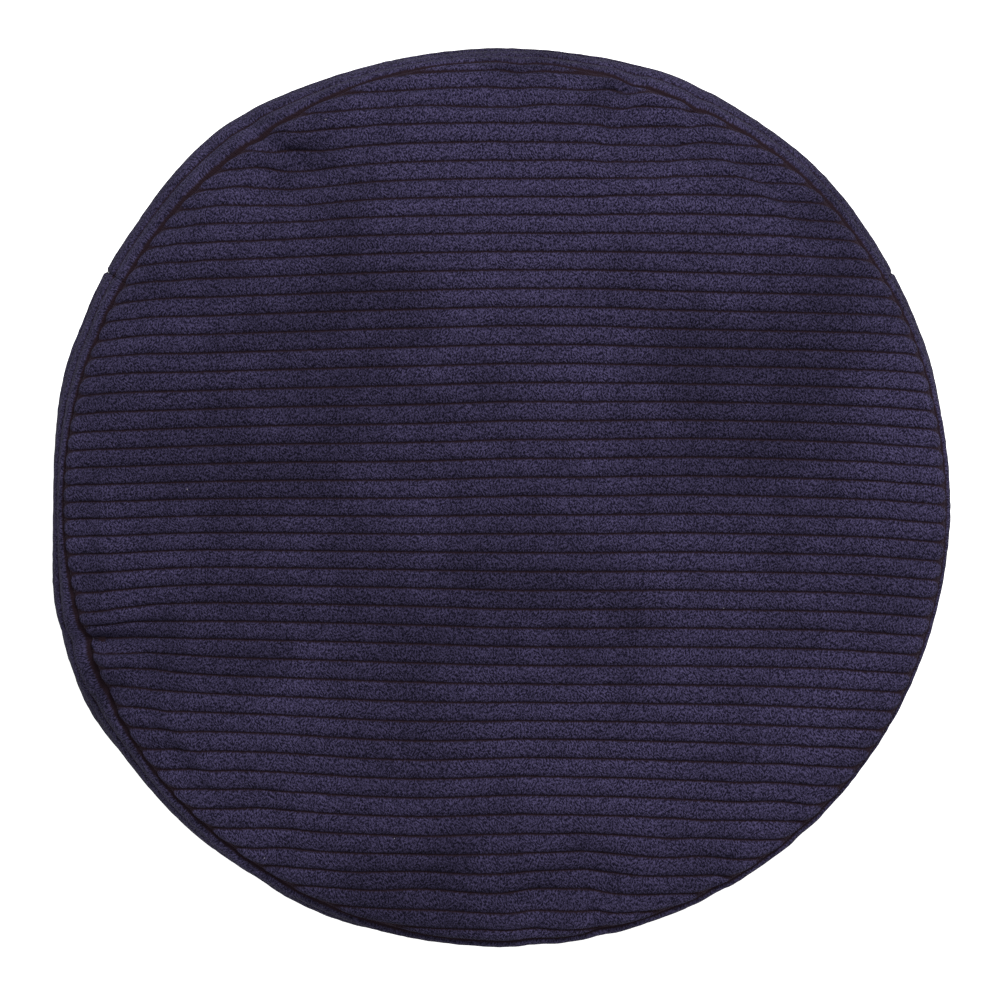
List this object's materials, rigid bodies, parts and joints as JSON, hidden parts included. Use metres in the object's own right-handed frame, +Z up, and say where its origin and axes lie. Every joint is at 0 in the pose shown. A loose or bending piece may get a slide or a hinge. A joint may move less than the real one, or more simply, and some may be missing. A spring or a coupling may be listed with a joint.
{
  "type": "floor cushion",
  "caption": "Round boxed floor cushion: wide-wale corduroy cover with a zip in the rear of its side band, over a lined foam and wadding pad.",
  "frame": {"origin": "middle of the underside, on the floor", "axes": "+Z up, through the thickness; the top panel's wales run along X; the zip is in the side band on the +Y side"},
  "size_m": [0.6, 0.5999, 0.11],
  "materials": {
    "corduroy": "navy wide-wale cotton corduroy, soft pile",
    "lining": "plain woven unbleached cotton",
    "wadding": "bonded polyester wadding",
    "foam": "open-cell upholstery foam",
    "thread": "bonded polyester sewing thread",
    "zip_tape": "woven polyester tape",
    "zip_coil": "nylon coil",
    "zip_metal": "dark plated zinc"
  },
  "bodies": {
    "cushion": {"top_panel": "corduroy", "bottom_panel": "corduroy", "front_band": "corduroy", "zip_band_upper": "corduroy", "zip_band_lower": "corduroy", "zip_tab_right": "corduroy", "zip_tab_left": "corduroy", "top_seam_thread": "thread", "bottom_seam_thread": "thread", "zip_tape_upper": "zip_tape", "zip_tape_lower": "zip_tape", "zip_coil_upper": "zip_coil", "zip_coil_lower": "zip_coil", "zip_top_stop_upper": "zip_metal", "zip_top_stop_lower": "zip_metal", "zip_bottom_stop": "zip_metal", "lining_top": "lining", "lining_band": "lining", "lining_bottom": "lining", "wadding_top": "wadding", "wadding_side": "wadding", "wadding_bottom": "wadding", "foam_core": "foam"},
    "slider": {"zip_slider": "zip_metal"},
    "pull": {"zip_pull": "zip_metal"}
  },
  "joints": [
    {"name": "zip_slide", "type": "hinge", "parent": "cushion", "child": "slider", "pos_m": [0, 0, 0.052], "axis": [0, 0, 1], "range_deg": [0, 111.1]},
    {"name": "pull_swing", "type": "hinge", "parent": "slider", "child": "pull", "pos_m": [0.24795, 0.17005, 0.052], "axis": [0, 0, 1], "range_deg": [-175, 0]}
  ]
}
